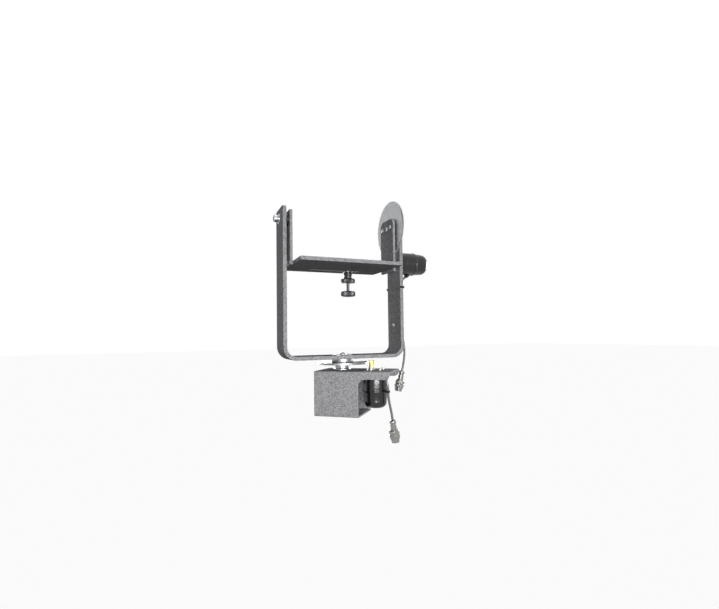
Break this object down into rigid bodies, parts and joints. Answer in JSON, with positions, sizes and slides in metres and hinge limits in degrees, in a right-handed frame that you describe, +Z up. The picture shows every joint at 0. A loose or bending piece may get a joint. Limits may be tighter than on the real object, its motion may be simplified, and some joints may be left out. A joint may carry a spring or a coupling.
{
  "type": "remote pan tilt head",
  "caption": "Motor driven pan tilt head for a camera: a square tube base turns a bent bar yoke, in which a tray tilts, each by an open gear pair and a booted gear motor with a plugged lead.",
  "frame": {"origin": "mouth of the socket in the base's underside, on the pan axis", "axes": "+Z up along the pan axis, +X along the tilt axis from the plain arm to the motor's arm, +Y towards the back, with the yoke square to the axes and the base turned 40 degrees under it"},
  "size_m": [0.2915, 0.1507, 0.432],
  "materials": {
    "hammer_paint": "satin",
    "zinc_steel": "satin",
    "aluminium": "satin",
    "brass": "polished",
    "nickel": "polished",
    "black_metal": "satin",
    "black_rubber": "gloss",
    "grey_vinyl": "satin",
    "black_nylon": "satin"
  },
  "bodies": {
    "base": {"base_housing": "hammer_paint", "mount_nut": "zinc_steel", "pan_bearing": "zinc_steel", "pan_bearing_nut": "zinc_steel", "pan_gear_motor": "zinc_steel", "pan_motor_boot": "black_rubber", "pan_motor_screw_1": "zinc_steel", "pan_motor_screw_2": "zinc_steel", "pan_motor_screw_3": "zinc_steel", "pan_motor_screw_4": "zinc_steel", "pan_cable_gland": "black_nylon", "pan_cable": "grey_vinyl", "pan_cable_tie": "black_nylon", "pan_plug_body": "nickel"},
    "pan_drive": {"pan_motor_shaft": "zinc_steel", "pan_pinion": "brass"},
    "pan_coupling": {"pan_plug_nut": "nickel"},
    "yoke": {"yoke_frame": "hammer_paint", "pan_gear": "aluminium", "pan_hub": "aluminium", "pan_shaft": "zinc_steel", "pan_shaft_bolt": "zinc_steel", "shaft_collar": "zinc_steel", "pan_hub_screw_1": "zinc_steel", "pan_hub_screw_2": "zinc_steel", "pan_hub_screw_3": "zinc_steel", "pan_hub_screw_4": "zinc_steel", "left_tilt_bush": "black_nylon", "right_tilt_bush": "black_nylon", "tilt_gear_motor": "zinc_steel", "tilt_motor_boot": "black_rubber", "tilt_motor_screw_1": "zinc_steel", "tilt_motor_screw_2": "zinc_steel", "tilt_motor_screw_3": "zinc_steel", "tilt_motor_screw_4": "zinc_steel", "tilt_cable_gland": "black_nylon", "tilt_cable": "grey_vinyl", "arm_cable_tie": "black_nylon", "cable_clip": "black_nylon", "clip_screw": "zinc_steel", "tilt_plug_body": "nickel"},
    "tilt_drive": {"tilt_motor_shaft": "zinc_steel", "tilt_pinion": "brass"},
    "tilt_coupling": {"tilt_plug_nut": "nickel"},
    "cradle": {"camera_tray": "hammer_paint", "left_upright": "hammer_paint", "right_upright": "hammer_paint", "tilt_gear": "aluminium", "left_pivot_bolt": "zinc_steel", "right_pivot_bolt": "zinc_steel", "left_upright_screw_1": "zinc_steel", "left_upright_screw_2": "zinc_steel", "right_upright_screw_1": "zinc_steel", "right_upright_screw_2": "zinc_steel", "gear_screw_1": "zinc_steel", "gear_screw_2": "zinc_steel"},
    "screw_carriage": {"slot_washer": "zinc_steel"},
    "lock_wheel": {"lock_wheel": "black_metal"},
    "camera_screw": {"camera_screw": "zinc_steel", "camera_knob": "black_metal"}
  },
  "joints": [
    {"name": "pan", "type": "hinge", "parent": "base", "child": "yoke", "pos_m": [0, 0, 0.0959], "axis": [0, 0, 1], "range_deg": [-175, 175]},
    {"name": "pan_pinion_spin", "type": "hinge", "parent": "base", "child": "pan_drive", "pos_m": [0.04045, -0.03394, 0.088], "axis": [0, 0, 1], "range_deg": [-1270, 1270]},
    {"name": "tilt", "type": "hinge", "parent": "yoke", "child": "cradle", "pos_m": [0, 0, 0.3336], "axis": [1, 0, 0], "range_deg": [-90, 90]},
    {"name": "tilt_pinion_spin", "type": "hinge", "parent": "yoke", "child": "tilt_drive", "pos_m": [0.099, 0, 0.2768], "axis": [1, 0, 0], "range_deg": [-710, 710]},
    {"name": "screw_slide", "type": "slide", "parent": "cradle", "child": "screw_carriage", "axis": [1, 0, 0], "range_m": [-0.0707, 0.0193]},
    {"name": "lock_wheel_spin", "type": "hinge", "parent": "screw_carriage", "child": "lock_wheel", "pos_m": [0.0257, 0.034, 0.244], "axis": [0, 0, 1], "continuous": true},
    {"name": "camera_screw_spin", "type": "hinge", "parent": "screw_carriage", "child": "camera_screw", "pos_m": [0.0257, 0.034, 0.22], "axis": [0, 0, 1], "continuous": true},
    {"name": "pan_plug_nut_spin", "type": "hinge", "parent": "base", "child": "pan_coupling", "pos_m": [0.07388, -0.05549, -0.0448], "axis": [0.1654, 0.061, -0.9843], "continuous": true},
    {"name": "tilt_plug_nut_spin", "type": "hinge", "parent": "yoke", "child": "tilt_coupling", "pos_m": [0.11238, 0.0045, 0.03246], "axis": [-0.1594, 0.1381, -0.9775], "continuous": true}
  ],
  "couplings": [
    {"joint": "pan_pinion_spin", "follows": "pan", "ratio": -7.25},
    {"joint": "tilt_pinion_spin", "follows": "tilt", "ratio": -7.875}
  ]
}
